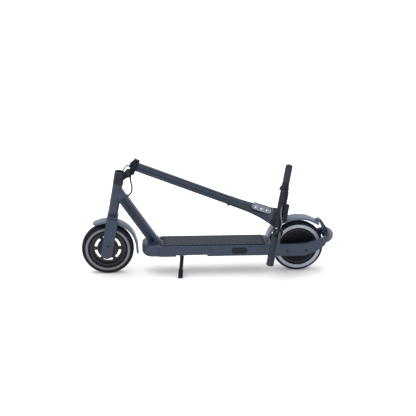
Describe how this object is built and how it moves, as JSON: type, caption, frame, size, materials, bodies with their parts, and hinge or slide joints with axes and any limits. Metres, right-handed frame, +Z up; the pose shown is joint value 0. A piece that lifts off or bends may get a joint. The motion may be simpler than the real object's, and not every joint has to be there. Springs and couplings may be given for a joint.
{
  "type": "electric kick scooter",
  "caption": "Folding electric kick scooter, stored with its stem folded over the deck, handlebar swivelled flat and kickstand down.",
  "frame": {"origin": "on the ground, midway between the two axles, in the scooter's centre plane", "axes": "+X to the rear, +Y to the rider's right, +Z up"},
  "size_m": [1.193, 0.4243, 0.5562],
  "materials": {
    "frame_paint": "aluminium alloy under a satin dark blue-grey powder coat",
    "dark_metal": "aluminium alloy under a satin black coat",
    "black_plastic": "fine moulded texture",
    "guard_plastic": "satin moulded plastic",
    "tyre_rubber": "worn matte tread",
    "grip_rubber": "matte moulded rubber",
    "mat_rubber": "matte, raised pattern",
    "reflector": "retroreflective grey band",
    "steel": "machined",
    "alloy": "satin anodised",
    "red_lens": "translucent red",
    "clear_lens": "clear moulded lens",
    "cable_black": "smooth jacket",
    "cable_grey": "smooth jacket",
    "cell_wrap": "heat-shrink wrap"
  },
  "bodies": {
    "frame": {"head_tube": "frame_paint", "headset_cups": "dark_metal", "down_tube": "frame_paint", "deck_nose": "frame_paint", "deck_channel": "frame_paint", "deck_mat": "mat_rubber", "bottom_cover": "black_plastic", "battery_pack": "cell_wrap", "controller": "black_plastic", "charge_socket": "black_plastic", "kickstand_bracket": "dark_metal", "rear_arms": "frame_paint", "tail_bridge": "frame_paint", "tail_lens": "red_lens", "rear_mudguard": "guard_plastic", "mudguard_stay": "black_plastic", "rear_axle": "steel", "motor_stator": "steel", "arm_bolts": "steel"},
    "fork": {"steerer_tube": "steel", "fork_crown": "frame_paint", "fork_legs": "frame_paint", "leg_covers": "frame_paint", "front_axle": "steel", "steering_collar": "dark_metal", "hinge_bracket": "dark_metal", "hinge_pin": "steel", "front_mudguard": "guard_plastic", "brake_plate": "dark_metal", "wiring_loop": "cable_black"},
    "front_wheel": {"front_tyre": "tyre_rubber", "front_side_rings": "reflector", "front_rim": "dark_metal", "front_bearings": "steel"},
    "rear_wheel": {"rear_tyre": "tyre_rubber", "rear_side_rings": "reflector", "motor_shell": "dark_metal"},
    "stem": {"stem_base": "dark_metal", "stem_tube": "frame_paint", "swivel_collar": "dark_metal", "stem_cable": "cable_grey"},
    "latch": {"latch_lever": "dark_metal"},
    "handlebar": {"neck": "dark_metal", "headlight_housing": "alloy", "headlight_lens": "clear_lens", "handlebar_tube": "alloy", "bar_shroud": "black_plastic", "grips": "grip_rubber", "throttle_housing": "black_plastic", "brake_perch": "black_plastic", "bell": "black_plastic", "display_housing": "black_plastic", "brake_cable": "cable_grey"},
    "throttle": {"throttle_lever": "black_plastic"},
    "brake": {"brake_lever": "alloy"},
    "bell_striker": {"bell_lever": "black_plastic"},
    "mode_button": {"mode_button": "grip_rubber"},
    "charge_cap": {"charge_cap": "grip_rubber"},
    "kickstand": {"kickstand": "dark_metal"}
  },
  "joints": [
    {"name": "steering", "type": "hinge", "parent": "frame", "child": "fork", "pos_m": [-0.4538, 0, 0.1225], "axis": [0.1805, 0, 0.9836], "range_deg": [-60, 0], "deforming": ["wiring_loop"]},
    {"name": "front_wheel_spin", "type": "hinge", "parent": "fork", "child": "front_wheel", "pos_m": [-0.4505, 0, 0.1225], "axis": [0, 1, 0], "continuous": true},
    {"name": "rear_wheel_spin", "type": "hinge", "parent": "frame", "child": "rear_wheel", "pos_m": [0.4505, 0, 0.1225], "axis": [0, 1, 0], "continuous": true},
    {"name": "stem_fold", "type": "hinge", "parent": "fork", "child": "stem", "pos_m": [-0.3463, 0, 0.49217], "axis": [0, -1, 0], "range_deg": [0, 100.9], "deforming": ["stem_cable"]},
    {"name": "handlebar_swivel", "type": "hinge", "parent": "stem", "child": "handlebar", "pos_m": [-0.33307, 0, 0.52887], "axis": [-0.9317, 0, 0.3633], "range_deg": [0, 43.7]},
    {"name": "fold_latch", "type": "hinge", "parent": "stem", "child": "latch", "pos_m": [-0.31451, 0, 0.55168], "axis": [0, -1, 0], "range_deg": [0, 60]},
    {"name": "brake_squeeze", "type": "hinge", "parent": "handlebar", "child": "brake", "pos_m": [0.33673, -0.13202, 0.23579], "axis": [0.9317, 0, -0.3633], "range_deg": [0, 10], "stiffness_Nm_per_rad": 2},
    {"name": "throttle_press", "type": "hinge", "parent": "handlebar", "child": "throttle", "pos_m": [0.3577, -0.02674, 0.28958], "axis": [0.251, 0.723, 0.6437], "range_deg": [0, 25], "stiffness_Nm_per_rad": 0.3},
    {"name": "bell_ring", "type": "hinge", "parent": "handlebar", "child": "bell_striker", "pos_m": [0.33511, -0.0918, 0.23165], "axis": [0.9317, 0, -0.3633], "range_deg": [0, 20], "stiffness_Nm_per_rad": 0.05},
    {"name": "mode_press", "type": "slide", "parent": "handlebar", "child": "mode_button", "axis": [-0.9317, 0, 0.3633], "range_m": [0, 0.001], "stiffness_N_per_m": 400},
    {"name": "charge_cap_open", "type": "hinge", "parent": "frame", "child": "charge_cap", "pos_m": [0.1315, -0.0749, 0.1255], "axis": [0, 0, -1], "range_deg": [0, 110]},
    {"name": "kickstand_fold", "type": "hinge", "parent": "frame", "child": "kickstand", "pos_m": [-0.1035, -0.064, 0.095], "axis": [0, -0.9645, 0.264], "range_deg": [0, 97]}
  ]
}
